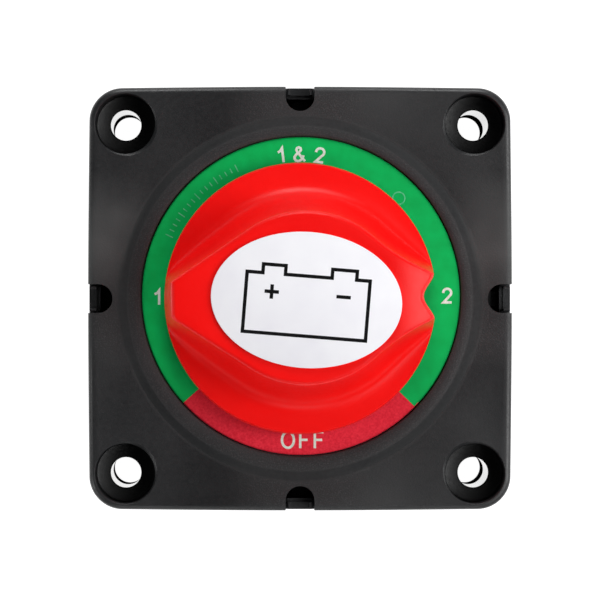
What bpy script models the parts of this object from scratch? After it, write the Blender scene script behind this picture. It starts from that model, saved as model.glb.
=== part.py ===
"""Battery selector switch for a boat: surface-mount case, rotary knob, contact chamber and three terminals.

The case's back face lies on z = 0 and its face looks up. The knob turns about the Z axis. It points to "2"
along +X; "1 & 2" is towards +Y, "1" towards -X and "OFF" towards -Y. Lengths are in millimetres, scaled once.
"""

import math

import bmesh
import bpy

MM = 0.001

# Case
CASE_HALF = 34.5
CASE_CORNER_R = 5.3
SPLIT_Z = 18.85
CASE_TOP_Z = 55.2
BEZEL_TOP_Z = 56.0
BEZEL_TOP_R = 28.2
BEZEL_FOOT_R = 29.4
GAP = 0.3
FLOOR_THICKNESS = 2.5
CHAMBER_HALF = 29.5
POST_SHOULDER = 22.0
POST_CORNER = 25.2

# Corner screw holes
HOLE_HALF_SPACING = 28.5
HOLE_R = 2.5
BACK_HOLE_R = 2.9
COUNTERBORE_R = 4.85
COUNTERBORE_DEPTH = 11.0

# Side covers, their rabbets and the finger notches above them
RABBET_FLOOR = 32.3
RABBET_HALF_WIDTH = 15.3
RABBET_TOP_Z = 50.0
WINDOW_HALF_WIDTH = 12.0
WINDOW_TOP_Z = 32.0
NOTCH_R = 2.35
NOTCH_CENTRE = 32.87
TAB_X = (33.2, 34.2)
TAB_HALF_WIDTH = 2.05
TAB_TOP_Z = 54.4

# Contact chamber
CHAMBER_R = 24.9
CHAMBER_WALL_R = 27.4
CHAMBER_FLOOR_Z = 34.4
CHAMBER_CEILING_Z = 51.0
POCKET_HALF_WIDTH = 17.0
POCKET_TOP_Z = 52.0
BASE_Z = (29.0, 33.0)
BASE_SCREW_SPACING = 21.5
PILOT_R = 1.5
PILOT_TOP_Z = 46.0
BAR_Z = (35.2, 37.0)
BAR_HALF_WIDTH = 6.0
RIB_BOTTOM_Z = 14.0
CONTACT_TOP_Z = 37.0
CONTACT_RADIUS = 16.5
CONTACT_PAD_R = 6.5
STUD_R = 4.95

# Rotor and dial
SHAFT_BORE_R = 8.0
NECK_R = 7.7
DRIVE_R = 4.2
DIAL_FLOOR_Z = 54.8
DIAL_R = 25.85
DIAL_BORE_R = 9.0
COLLAR_R = 13.0
COLLAR_Z = (46.0, 50.5)
CARRIER_R = 20.5
CARRIER_BOTTOM_Z = 41.5
DETENT_NOTCH_R = 2.6
DRIVE_PIN_X = (8.0, 18.0)
DRIVE_PIN_R = 1.6
SEAL_Z = 52.4
SEAL_R = 7.05
SEAL_WIRE_R = 0.72
SPRING_PLACES = ((2.0, 0.0), (13.0, 8.5), (13.0, -8.5))
SPRING_Z = (40.1, 44.4)
SPRING_R = 2.4
SPRING_WIRE_R = 0.4
SPRING_TURNS = 3.0

# Detent leaves and the slotted posts that hold their ends
LEAF_Y = 14.4
LEAF_Z = (46.9, 50.3)
LEAF_HALF_LENGTH = 15.4
LEAF_BUMP_R = 2.0
LEAF_THICKNESS = 0.5
LEAF_POST_X = (13.0, 17.0)
LEAF_POST_Y = (12.6, 16.2)
LEAF_SLOT_END_X = 15.8
LEAF_SLOT_Y = (13.85, 14.95)
LEAF_POST_BOTTOM_Z = 46.5

# Knob
KNOB_R = 22.05
KNOB_BOTTOM_Z = 56.0
KNOB_SKIRT_Z = 60.0
KNOB_TOP_Z = 75.4
CREST_ARC_R = 16.3
CREST_CENTRE_X = 0.8
CREST_HALF_WIDTH = 14.0
FLANK_X = (-8.2, 11.7)
TIP = (21.2, 3.8)
TIP_SLOPE = -0.45
GRIP_TAIL_X = 20.8
POINTER_HALF_ANGLE = 9.5
POINTER_DEPTH = 2.0
KNOB_WALL = 2.3
HUB_R = 7.0
HUB_BORE_R = 4.5
HUB_LOW_Z = 57.0
HUB_SEAT_Z = 65.7
SCREW_SEAT_Z = 71.5
SCREW_SEAT_R = 4.6
SCREW_BORE_R = 2.1
SCOOP_POWER = 3.0
LABEL_SEMI_AXES = (15.34, 10.9)
LABEL_OFFSET = (0.85, -0.32)
LABEL_TURN = -4.6

# Terminals: M10 studs with a flat washer, a lock washer and a nut each
STUD_BOTTOM_Z = 9.0
WASHER_BORE_R = 5.3
FLAT_WASHER_R = 10.0
FLAT_WASHER_Z = (26.7, 28.7)
LOCK_WASHER_R = 9.0
LOCK_WASHER_Z = (24.2, 26.4)
NUT_ACROSS_FLATS = 17.0
NUT_Z = (15.9, 23.9)

TERMINALS = {
    "1": (-CONTACT_RADIUS * math.cos(math.pi / 4), CONTACT_RADIUS * math.sin(math.pi / 4)),
    "2": (CONTACT_RADIUS * math.cos(math.pi / 4), CONTACT_RADIUS * math.sin(math.pi / 4)),
    "common": (0.0, -CONTACT_RADIUS),
}
CORNERS = ((1, 1), (-1, 1), (-1, -1), (1, -1))


# ---------------------------------------------------------------- scene, collections and materials


def clear_scene():
    for item in list(bpy.data.objects):
        bpy.data.objects.remove(item, do_unlink=True)


def new_collection(name):
    collection = bpy.data.collections.new(name)
    bpy.context.scene.collection.children.link(collection)
    return collection


def new_material(name, colour, roughness, metallic=0.0):
    material = bpy.data.materials.new(name)
    material.use_nodes = True
    shader = material.node_tree.nodes["Principled BSDF"]
    shader.inputs["Base Color"].default_value = (*colour, 1.0)
    shader.inputs["Roughness"].default_value = roughness
    shader.inputs["Metallic"].default_value = metallic
    return material


clear_scene()
PARTS = new_collection("battery_switch")
CUTTERS = new_collection("battery_switch_cutters")
BLACK_PLASTIC = new_material("black_plastic", (0.028, 0.028, 0.030), 0.5)
GREEN_PRINT = new_material("green_print", (0.0, 0.36, 0.10), 0.45)
RED_PLASTIC = new_material("red_plastic", (0.85, 0.015, 0.012), 0.3)
WHITE_VINYL = new_material("white_vinyl", (0.88, 0.88, 0.90), 0.35)
NYLON = new_material("natural_nylon", (0.62, 0.60, 0.52), 0.5)
PHENOLIC = new_material("phenolic_board", (0.10, 0.045, 0.025), 0.45)
RUBBER = new_material("black_rubber", (0.02, 0.02, 0.02), 0.8)
COPPER = new_material("copper", (0.80, 0.42, 0.25), 0.3, 1.0)
TINNED = new_material("tinned_copper", (0.70, 0.69, 0.66), 0.35, 1.0)
SPRING_STEEL = new_material("spring_steel", (0.52, 0.52, 0.54), 0.3, 1.0)
STAINLESS = new_material("stainless_steel", (0.62, 0.61, 0.59), 0.25, 1.0)


# ---------------------------------------------------------------- outlines, as lists of (x, y) in millimetres


def arc(radius, start, end, steps, centre=(0.0, 0.0)):
    """Points from start to end, in degrees, both included."""
    angles = [math.radians(start + (end - start) * i / steps) for i in range(steps + 1)]
    return [(centre[0] + radius * math.cos(a), centre[1] + radius * math.sin(a)) for a in angles]


def circle(radius, steps, centre=(0.0, 0.0)):
    return arc(radius, 0.0, 360.0, steps, centre)[:-1]


def rounded_square(half, radius, steps=5):
    middle = half - radius
    points = []
    for number, (x, y) in enumerate(CORNERS):
        points += arc(radius, 90.0 * number, 90.0 * number + 90.0, steps, (x * middle, y * middle))
    return points


def rectangle(x_low, x_high, y_low, y_high):
    return [(x_low, y_low), (x_high, y_low), (x_high, y_high), (x_low, y_high)]


def turned_by(points, degrees):
    c = math.cos(math.radians(degrees))
    s = math.sin(math.radians(degrees))
    return [(c * x - s * y, s * x + c * y) for x, y in points]


def on_four_sides(points):
    return [turned_by(points, 90.0 * number) for number in range(4)]


def clipped_square(half, shoulder, corner):
    """A square whose corners give way to the screw posts; shoulder and corner lie on the posts' outline."""
    side = [(half, -shoulder), (half, shoulder), (corner, corner)]
    return [point for number in range(4) for point in turned_by(side, 90.0 * number)]


# ---------------------------------------------------------------- solids


def add_object(name, data):
    """Every solid starts among the cutters; make_part moves the finished ones to the parts."""
    solid = bpy.data.objects.new(name, data)
    CUTTERS.objects.link(solid)
    return solid


def finish_bmesh(name, shape):
    mesh = bpy.data.meshes.new(name)
    shape.to_mesh(mesh)
    shape.free()
    return add_object(name, mesh)


def plate(name, outlines, z_low, z_high):
    """Flat solid from closed outlines; an outline inside another one is a hole."""
    curve = bpy.data.curves.new(name, "CURVE")
    curve.dimensions = "2D"
    curve.fill_mode = "BOTH"
    curve.extrude = (z_high - z_low) / 2 * MM
    for outline in outlines:
        spline = curve.splines.new("POLY")
        spline.points.add(len(outline) - 1)
        for point, (x, y) in zip(spline.points, outline):
            point.co = (x * MM, y * MM, 0.0, 1.0)
        spline.use_cyclic_u = True
    drawn = add_object(name + "_outline", curve)
    drawn.location.z = (z_low + z_high) / 2 * MM
    return curve_to_mesh(name, drawn)


def curve_to_mesh(name, drawn):
    bpy.context.view_layer.update()
    mesh = bpy.data.meshes.new_from_object(drawn.evaluated_get(bpy.context.evaluated_depsgraph_get()))
    shape = bmesh.new()
    shape.from_mesh(mesh)
    bmesh.ops.remove_doubles(shape, verts=shape.verts, dist=0.001 * MM)
    shape.to_mesh(mesh)
    shape.free()
    solid = add_object(name, mesh)
    solid.matrix_world = drawn.matrix_world.copy()
    bpy.data.objects.remove(drawn, do_unlink=True)
    return solid


def cylinder(name, radius, z_low, z_high, top_radius=None, sides=48):
    top = radius if top_radius is None else top_radius
    depth = (z_high - z_low) * MM
    shape = bmesh.new()
    bmesh.ops.create_cone(
        shape, cap_ends=True, segments=sides, radius1=radius * MM, radius2=top * MM, depth=depth
    )
    solid = finish_bmesh(name, shape)
    solid.location.z = (z_low + z_high) / 2 * MM
    return solid


def box(name, x_range, y_range, z_range):
    shape = bmesh.new()
    bmesh.ops.create_cube(shape, size=MM)
    ranges = (x_range, y_range, z_range)
    bmesh.ops.scale(shape, vec=[high - low for low, high in ranges], verts=shape.verts)
    solid = finish_bmesh(name, shape)
    solid.location = [(low + high) / 2 * MM for low, high in ranges]
    return solid


def turned(name, profile, centre=(0.0, 0.0), steps=32):
    """Solid of revolution about Z; the profile, (radius, z), ends by running down the outer side."""
    mesh = bpy.data.meshes.new(name)
    points = [(radius * MM, 0.0, z * MM) for radius, z in profile]
    mesh.from_pydata(points, [(i, i + 1) for i in range(len(points) - 1)], [])
    solid = add_object(name, mesh)
    solid.location = (centre[0] * MM, centre[1] * MM, 0.0)
    screw = solid.modifiers.new("Turn", "SCREW")
    screw.angle = math.tau
    screw.steps = steps
    screw.render_steps = steps
    screw.use_merge_vertices = True
    screw.merge_threshold = 0.001 * MM
    screw.use_smooth_shade = True
    return solid


def combine(target, tool, operation):
    tool.hide_render = True
    tool.display_type = "WIRE"
    modifier = target.modifiers.new(operation.title() + " " + tool.name, "BOOLEAN")
    modifier.operation = operation
    modifier.solver = "EXACT"
    modifier.object = tool


def cut(target, *tools):
    for tool in tools:
        combine(target, tool, "DIFFERENCE")


def join(target, *tools):
    for tool in tools:
        combine(target, tool, "UNION")


def bevel(solid, width, segments=1, angle=50.0):
    modifier = solid.modifiers.new("Edges", "BEVEL")
    modifier.width = width * MM
    modifier.segments = segments
    modifier.limit_method = "ANGLE"
    modifier.angle_limit = math.radians(angle)


def make_part(solid, material):
    """Moves a finished solid to the parts, gives it its material and shades its round faces smooth."""
    CUTTERS.objects.unlink(solid)
    PARTS.objects.link(solid)
    solid.data.materials.clear()
    solid.data.materials.append(material)
    solid.data.shade_smooth()
    solid.data.set_sharp_from_angle(angle=math.radians(35.0))
    return solid


# ---------------------------------------------------------------- case


def screw_holes(name, radius, z_low, z_high, sides):
    places = [(x * HOLE_HALF_SPACING, y * HOLE_HALF_SPACING) for x, y in CORNERS]
    return plate(name, [circle(radius, sides, place) for place in places], z_low, z_high)


def side_rabbets(name, z_low, z_high):
    outline = rectangle(RABBET_FLOOR, CASE_HALF + 2.0, -RABBET_HALF_WIDTH, RABBET_HALF_WIDTH)
    return plate(name, on_four_sides(outline), z_low, z_high)


def cable_windows(name, z_low, z_high):
    outline = rectangle(CHAMBER_HALF - 1.0, RABBET_FLOOR + 1.0, -WINDOW_HALF_WIDTH, WINDOW_HALF_WIDTH)
    return plate(name, on_four_sides(outline), z_low, z_high)


def finger_notches():
    reach = CASE_HALF + 2.0
    outline = arc(NOTCH_R, 90.0, 270.0, 10, (NOTCH_CENTRE, 0.0)) + [(reach, -NOTCH_R), (reach, NOTCH_R)]
    return plate("finger_notches", on_four_sides(outline), RABBET_TOP_Z - 1.0, BEZEL_TOP_Z + 1.0)


def side_pockets():
    """Hollows between the chamber wall and the case's sides, which keep the walls even."""
    half_width = POCKET_HALF_WIDTH
    end = math.degrees(math.asin(half_width / CHAMBER_WALL_R))
    outline = arc(CHAMBER_WALL_R, -end, end, 8) + [(CHAMBER_HALF, half_width), (CHAMBER_HALF, -half_width)]
    return plate("side_pockets", on_four_sides(outline), CHAMBER_FLOOR_Z - 0.5, POCKET_TOP_Z)


def base_screw_pilots():
    spacing = BASE_SCREW_SPACING
    outlines = [circle(PILOT_R, 10, (x * spacing, y * spacing)) for x, y in CORNERS]
    return plate("base_screw_pilots", outlines, CHAMBER_FLOOR_Z - 1.0, PILOT_TOP_Z)


def leaf_posts():
    """Four slotted posts under the chamber's ceiling that hold the ends of the detent leaves."""
    near_x, far_x = LEAF_POST_X
    near_y, far_y = LEAF_POST_Y
    slot_low, slot_high = LEAF_SLOT_Y
    slotted = [(near_x, near_y), (far_x, near_y), (far_x, far_y), (near_x, far_y), (near_x, slot_high)]
    slotted += [(LEAF_SLOT_END_X, slot_high), (LEAF_SLOT_END_X, slot_low), (near_x, slot_low)]
    outlines = [[(x * px, y * py) for px, py in slotted] for x, y in CORNERS]
    return plate("leaf_posts", outlines, LEAF_POST_BOTTOM_Z, CHAMBER_CEILING_Z + 1.0)


def make_housing():
    housing = plate("housing", [rounded_square(CASE_HALF, CASE_CORNER_R)], SPLIT_Z + GAP / 2, CASE_TOP_Z)
    bevel(housing, 0.5)
    join(housing, cylinder("bezel", BEZEL_FOOT_R, CASE_TOP_Z - 0.7, BEZEL_TOP_Z, BEZEL_TOP_R))
    terminal_outline = clipped_square(CHAMBER_HALF, POST_SHOULDER, POST_CORNER)
    cut(housing, plate("terminal_chamber", [terminal_outline], SPLIT_Z - 1.0, CHAMBER_FLOOR_Z))
    cut(housing, cylinder("contact_chamber", CHAMBER_R, CHAMBER_FLOOR_Z - 1.0, CHAMBER_CEILING_Z))
    cut(housing, side_pockets())
    cut(housing, cylinder("shaft_bore", SHAFT_BORE_R, CHAMBER_CEILING_Z - 1.0, BEZEL_TOP_Z, sides=32))
    cut(housing, cylinder("dial_recess", DIAL_R + 0.25, DIAL_FLOOR_Z, BEZEL_TOP_Z + 1.0))
    cut(housing, screw_holes("screw_holes", HOLE_R, SPLIT_Z - 1.0, CASE_TOP_Z, 16))
    counterbore_floor = CASE_TOP_Z - COUNTERBORE_DEPTH
    cut(housing, screw_holes("counterbores", COUNTERBORE_R, counterbore_floor, BEZEL_TOP_Z + 1.0, 24))
    cut(housing, side_rabbets("housing_rabbets", SPLIT_Z - 1.0, RABBET_TOP_Z))
    cut(housing, cable_windows("housing_windows", SPLIT_Z - 1.0, WINDOW_TOP_Z))
    cut(housing, finger_notches(), base_screw_pilots())
    join(housing, leaf_posts())
    return make_part(housing, BLACK_PLASTIC)


def make_back_cover():
    top = SPLIT_Z - GAP / 2
    cover = plate("back_cover", [rounded_square(CASE_HALF, CASE_CORNER_R)], 0.0, top)
    bevel(cover, 0.4)
    chamber_outline = clipped_square(CHAMBER_HALF, POST_SHOULDER, POST_CORNER)
    cut(cover, plate("back_chamber", [chamber_outline], FLOOR_THICKNESS, top + 1.0))
    cut(cover, screw_holes("back_screw_holes", BACK_HOLE_R, -1.0, top + 1.0, 16))
    cut(cover, side_rabbets("back_rabbets", FLOOR_THICKNESS, top + 1.0))
    cut(cover, cable_windows("back_windows", FLOOR_THICKNESS + 2.5, top + 1.0))
    return make_part(cover, BLACK_PLASTIC)


def make_side_cover(side, degrees):
    """Cover plate with a narrow tab that reaches up into the finger notch."""
    half_width = RABBET_HALF_WIDTH - GAP
    z_range = (FLOOR_THICKNESS + GAP, RABBET_TOP_Z - GAP)
    x_range = (RABBET_FLOOR + GAP, CASE_HALF - 0.1)
    cover = box("side_cover_" + side, x_range, (-half_width, half_width), z_range)
    cover.data.transform(cover.matrix_basis)
    cover.location = (0.0, 0.0, 0.0)
    tab = box("tab_" + side, TAB_X, (-TAB_HALF_WIDTH, TAB_HALF_WIDTH), (RABBET_TOP_Z - 2.0, TAB_TOP_Z))
    tab.data.transform(tab.matrix_basis)
    tab.location = (0.0, 0.0, 0.0)
    join(cover, tab)
    for item in (cover, tab):
        item.rotation_euler.z = math.radians(degrees)
    return make_part(cover, BLACK_PLASTIC)


def make_dial_label():
    z_low = DIAL_FLOOR_Z + GAP
    ring = plate("dial_label", [circle(DIAL_R, 48), circle(DIAL_BORE_R, 32)], z_low, z_low + 0.4)
    return make_part(ring, GREEN_PRINT)


# ---------------------------------------------------------------- knob


def knob_outline(degrees):
    """The knob's outer radius, with the pointer notch bitten out around 0 degrees."""
    if abs(degrees) >= POINTER_HALF_ANGLE:
        return KNOB_R
    return KNOB_R - POINTER_DEPTH * math.cos(math.radians(90.0 * degrees / POINTER_HALF_ANGLE)) ** 2


def crest(x):
    """The crown's half-width at x, and its slope, on the arc in the middle."""
    run = x - CREST_CENTRE_X
    depth = math.sqrt(CREST_ARC_R**2 - run**2)
    return CREST_HALF_WIDTH - CREST_ARC_R + depth, -run / depth


def grip_half_width(x):
    """An arc in the middle, a straight flank to the tail and a hollow flank towards the pointer."""
    left, right = FLANK_X
    if x < left:
        half_width, slope = crest(left)
        return half_width + slope * (x - left)
    if x <= right:
        return crest(x)[0]
    if x > TIP[0]:
        return TIP[1] + TIP_SLOPE * (x - TIP[0])
    half_width, slope = crest(right)
    span = TIP[0] - right
    t = (x - right) / span
    start = half_width * (1.0 + 2.0 * t) + span * slope * t
    end = TIP[1] * (3.0 - 2.0 * t) - span * TIP_SLOPE * (1.0 - t)
    return (1.0 - t) ** 2 * start + t * t * end


def grip_outline(degrees):
    """The crown's outline as a radius, found by halving; it ends in a blunt tail at 180 degrees."""
    s = abs(math.sin(math.radians(degrees)))
    c = math.cos(math.radians(degrees))
    low, high = 0.0, knob_outline(degrees) - 0.4
    if c < 0.0:
        high = min(high, GRIP_TAIL_X / -c)
    for _ in range(24):
        middle = (low + high) / 2
        if middle * s < grip_half_width(middle * c):
            low = middle
        else:
            high = middle
    return high


def scoop(degrees, t):
    """(radius, z) on the finger scoop, from the crown's edge at t = 0 down to the skirt at t = 1."""
    outer = knob_outline(degrees) - 0.15
    crown = grip_outline(degrees)
    rise = KNOB_TOP_Z - 1.0 - KNOB_SKIRT_Z
    return crown + (outer - crown) * t, KNOB_SKIRT_Z + rise * (1.0 - t) ** SCOOP_POWER


def knob_section(degrees):
    """One closed section of the knob, (radius, z), from the screw recess out, down, in and up again."""
    outer = knob_outline(degrees)
    crown = grip_outline(degrees)
    fall = [scoop(degrees, step / 4) for step in range(5)]
    section = [(SCREW_SEAT_R, KNOB_TOP_Z), (crown - 0.9, KNOB_TOP_Z), (crown - 0.3, KNOB_TOP_Z - 0.3)]
    section += fall + [(outer, KNOB_SKIRT_Z - 0.5), (outer, KNOB_BOTTOM_Z)]
    section += [(outer - KNOB_WALL, KNOB_BOTTOM_Z)]
    section += [(radius - KNOB_WALL, z - KNOB_WALL) for radius, z in reversed(fall)]
    section += [(HUB_R, KNOB_TOP_Z - 3.5), (HUB_R, HUB_LOW_Z), (HUB_BORE_R, HUB_LOW_Z)]
    section += [(HUB_BORE_R, HUB_SEAT_Z), (SCREW_BORE_R, HUB_SEAT_Z)]
    section += [(SCREW_BORE_R, SCREW_SEAT_Z), (SCREW_SEAT_R, SCREW_SEAT_Z)]
    return section


def knob_angles():
    """Close together over the pointer notch, then every 10 degrees."""
    fine = [POINTER_HALF_ANGLE * number / 4 for number in range(-4, 5)]
    coarse = [10.0 * number for number in range(2, 35)]
    return fine + coarse


def make_knob():
    """Loft round the axis: its sections differ because the grip is a lens and the skirt is round."""
    shape = bmesh.new()
    rings = []
    for degrees in knob_angles():
        c = math.cos(math.radians(degrees))
        s = math.sin(math.radians(degrees))
        points = [(r * c * MM, r * s * MM, (z - KNOB_BOTTOM_Z) * MM) for r, z in knob_section(degrees)]
        rings.append([shape.verts.new(point) for point in points])
    count = len(rings[0])
    for ring, following in zip(rings, rings[1:] + rings[:1]):
        for i in range(count):
            j = (i + 1) % count
            shape.faces.new((ring[i], ring[j], following[j], following[i]))
    bmesh.ops.recalc_face_normals(shape, faces=shape.faces)
    knob = finish_bmesh("knob", shape)
    knob.location.z = KNOB_BOTTOM_Z * MM
    return make_part(knob, RED_PLASTIC)


def make_knob_label():
    z_low = KNOB_TOP_Z + GAP
    oval = [(x * LABEL_SEMI_AXES[0], y * LABEL_SEMI_AXES[1]) for x, y in circle(1.0, 40)]
    label = plate("knob_label", [oval], z_low, z_low + 0.3)
    label.location.x = LABEL_OFFSET[0] * MM
    label.location.y = LABEL_OFFSET[1] * MM
    label.rotation_euler.z = math.radians(LABEL_TURN)
    return make_part(label, WHITE_VINYL)


def make_knob_screw():
    profile = [(0.0, 74.4), (3.0, 74.3), (4.2, 73.2), (4.2, 71.8), (1.9, 71.8), (1.9, 59.0), (0.0, 58.4)]
    screw = turned("knob_screw", profile, steps=20)
    cut(screw, box("screw_slot", (-3.4, 3.4), (-0.5, 0.5), (73.2, 75.0)))
    return make_part(screw, STAINLESS)


# ---------------------------------------------------------------- rotor, seal and detents


def make_rotor():
    profile = [(0.0, 58.0), (2.2, 58.0), (2.2, 65.4), (DRIVE_R, 65.4), (DRIVE_R, 56.6), (NECK_R, 56.6)]
    profile += [(NECK_R, 53.4), (6.1, 53.4), (6.1, 51.4), (NECK_R, 51.4), (NECK_R, COLLAR_Z[1])]
    profile += [(COLLAR_R, COLLAR_Z[1]), (COLLAR_R, COLLAR_Z[0]), (CARRIER_R, COLLAR_Z[0])]
    profile += [(CARRIER_R, CARRIER_BOTTOM_Z), (0.0, CARRIER_BOTTOM_Z)]
    rotor = turned("rotor", profile, steps=40)
    notch = circle(DETENT_NOTCH_R, 12, (COLLAR_R + 1.5, 0.0))
    cut(rotor, plate("detent_notches", on_four_sides(notch), COLLAR_Z[0] + 0.2, COLLAR_Z[1] + 0.4))
    pockets = [circle(3.2, 16, place) for place in SPRING_PLACES]
    cut(rotor, plate("spring_pockets", pockets, CARRIER_BOTTOM_Z - 1.0, 45.2))
    pins = [circle(DRIVE_PIN_R, 12, (x, 0.0)) for x in DRIVE_PIN_X]
    join(rotor, plate("drive_pins", pins, CONTACT_TOP_Z + 0.7, CARRIER_BOTTOM_Z + 1.0))
    return make_part(rotor, NYLON)


def make_shaft_seal():
    bpy.ops.mesh.primitive_torus_add(
        major_segments=28, minor_segments=6, major_radius=SEAL_R * MM, minor_radius=SEAL_WIRE_R * MM
    )
    seal = bpy.context.object
    seal.location.z = SEAL_Z * MM
    seal.name = "shaft_seal"
    for collection in list(seal.users_collection):
        collection.objects.unlink(seal)
    CUTTERS.objects.link(seal)
    return make_part(seal, RUBBER)


def make_detent_leaf(name, side):
    """Strip of spring steel along X, with a round bump that sits in the collar's notch."""
    bump = arc(LEAF_BUMP_R, -50.0, -130.0, 6, (0.0, LEAF_Y + 0.25))
    end, bend = LEAF_HALF_LENGTH, 2.5 * LEAF_BUMP_R
    middle = [(end, LEAF_Y), (bend, LEAF_Y)] + bump + [(-bend, LEAF_Y), (-end, LEAF_Y)]
    line = [(x, side * y) for x, y in middle]
    mesh = bpy.data.meshes.new(name)
    points = [(x * MM, y * MM, z * MM) for z in LEAF_Z for x, y in line]
    count = len(line)
    faces = [(i, i + 1, i + 1 + count, i + count) for i in range(count - 1)]
    mesh.from_pydata(points, [], faces)
    leaf = add_object(name, mesh)
    solidify = leaf.modifiers.new("Thickness", "SOLIDIFY")
    solidify.thickness = LEAF_THICKNESS * MM
    solidify.offset = 0.0
    return make_part(leaf, SPRING_STEEL)


# ---------------------------------------------------------------- contacts


def make_contact_plate():
    """Sector with a round hub: it reaches two neighbouring contacts at once and always covers the axis."""
    half_angle = 65.0
    outer_r, hub_r = 21.0, 6.5
    outline = arc(outer_r, -half_angle, half_angle, 16) + arc(hub_r, half_angle, 360.0 - half_angle, 12)
    holes = [circle(2.0, 12, (x, 0.0)) for x in DRIVE_PIN_X]
    z_low = CONTACT_TOP_Z + GAP
    return make_part(plate("contact_plate", [outline] + holes, z_low, z_low + 2.0), COPPER)


def make_contact_spring(number, place):
    """Compression spring, as a tube along a helix."""
    points_per_turn = 10
    count = int(SPRING_TURNS * points_per_turn) + 1
    z_low, z_high = SPRING_Z
    curve = bpy.data.curves.new("spring_path", "CURVE")
    curve.dimensions = "3D"
    curve.bevel_depth = SPRING_WIRE_R * MM
    curve.bevel_resolution = 1
    curve.use_fill_caps = True
    spline = curve.splines.new("POLY")
    spline.points.add(count - 1)
    for i, point in enumerate(spline.points):
        angle = math.tau * i / points_per_turn
        z = z_low + (z_high - z_low) * i / (count - 1)
        x = place[0] + SPRING_R * math.cos(angle)
        y = place[1] + SPRING_R * math.sin(angle)
        point.co = (x * MM, y * MM, z * MM, 1.0)
    drawn = add_object("spring_path", curve)
    return make_part(curve_to_mesh("contact_spring_" + str(number), drawn), SPRING_STEEL)


def make_contact_base():
    """Insulating board with stud and screw holes, a pedestal for the bar and ribs between terminals."""
    clearance = 0.8
    outline = clipped_square(CHAMBER_HALF - clearance, POST_SHOULDER - clearance, POST_CORNER - clearance)
    stud_holes = [circle(STUD_R + GAP, 20, place) for place in TERMINALS.values()]
    spacing = BASE_SCREW_SPACING
    screws = [circle(PILOT_R + 0.1, 10, (x * spacing, y * spacing)) for x, y in CORNERS]
    base = plate("contact_base", [outline] + screws, *BASE_Z)
    pedestal_top = BAR_Z[0] - GAP
    join(base, plate("bar_pedestal", [bar_outline(BAR_HALF_WIDTH - 0.4)], BASE_Z[1] - 1.0, pedestal_top))
    rib_z = (RIB_BOTTOM_Z, BASE_Z[0] + 1.0)
    join(base, box("rib_between_1_and_2", (-1.0, 1.0), (1.0, 26.0), rib_z))
    join(base, box("rib_above_common", (-26.0, 26.0), (-1.0, 1.1), rib_z))
    cut(base, plate("stud_holes", stud_holes, BASE_Z[0] - 1.0, pedestal_top + 1.0))
    return make_part(base, PHENOLIC)


def bar_outline(half_width):
    """Stadium from the common stud to the axis."""
    return arc(half_width, 0.0, 180.0, 8) + arc(half_width, 180.0, 360.0, 8, (0.0, -CONTACT_RADIUS))


def make_common_bar():
    hole = circle(4.3, 20, TERMINALS["common"])
    return make_part(plate("common_bar", [bar_outline(BAR_HALF_WIDTH), hole], *BAR_Z), COPPER)


def make_base_gasket():
    rings = [circle(CHAMBER_WALL_R - 0.2, 40), circle(CHAMBER_R + 0.2, 40)]
    return make_part(plate("base_gasket", rings, BASE_Z[1] + GAP, CHAMBER_FLOOR_Z - GAP), RUBBER)


def make_base_screw(number, corner):
    place = (corner[0] * BASE_SCREW_SPACING, corner[1] * BASE_SCREW_SPACING)
    profile = [(0.0, 44.0), (1.2, 43.0), (1.2, 28.7), (2.8, 28.7), (2.8, 27.3), (2.0, 26.6), (0.0, 26.6)]
    return make_part(turned("base_screw_" + str(number), profile, place, 12), STAINLESS)


# ---------------------------------------------------------------- terminals


def make_terminal_stud(label, place):
    """M10 stud; the two switched studs end in a round contact, the common one in a neck through its bar."""
    if label == "common":
        top = [(0.0, 36.8), (4.0, 36.8), (4.0, BAR_Z[0] - GAP)]
    else:
        low = BASE_Z[1] + GAP
        top = [(0.0, CONTACT_TOP_Z), (CONTACT_PAD_R - 0.5, CONTACT_TOP_Z)]
        top += [(CONTACT_PAD_R, CONTACT_TOP_Z - 0.5), (CONTACT_PAD_R, low), (STUD_R, low)]
    shank = [(STUD_R, STUD_BOTTOM_Z + 1.0), (4.2, STUD_BOTTOM_Z), (0.0, STUD_BOTTOM_Z)]
    if label == "common":
        shank = [(STUD_R, BAR_Z[0] - GAP)] + shank
    return make_part(turned("terminal_stud_" + label, top + shank, place, 24), TINNED)


def make_flat_washer(label, place):
    rings = [circle(FLAT_WASHER_R, 28), circle(WASHER_BORE_R, 20)]
    washer = plate("flat_washer_" + label, rings, *FLAT_WASHER_Z)
    washer.location.x = place[0] * MM
    washer.location.y = place[1] * MM
    return make_part(washer, STAINLESS)


def make_lock_washer(label, place):
    """Spring washer with its cut towards +X."""
    outline = arc(LOCK_WASHER_R, 8.0, 352.0, 28) + arc(WASHER_BORE_R, 352.0, 8.0, 28)
    washer = plate("lock_washer_" + label, [outline], *LOCK_WASHER_Z)
    washer.location.x = place[0] * MM
    washer.location.y = place[1] * MM
    return make_part(washer, STAINLESS)


def make_terminal_nut(label, place):
    hexagon = arc(NUT_ACROSS_FLATS / math.sqrt(3.0), 0.0, 300.0, 5)
    nut = plate("terminal_nut_" + label, [hexagon, circle(WASHER_BORE_R, 20)], *NUT_Z)
    nut.location.x = place[0] * MM
    nut.location.y = place[1] * MM
    return make_part(nut, STAINLESS)


# ---------------------------------------------------------------- assembly


def make_case():
    make_housing()
    make_back_cover()
    for number, side in enumerate(("right", "top", "left", "bottom")):
        make_side_cover(side, 90.0 * number)
    make_dial_label()


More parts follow.
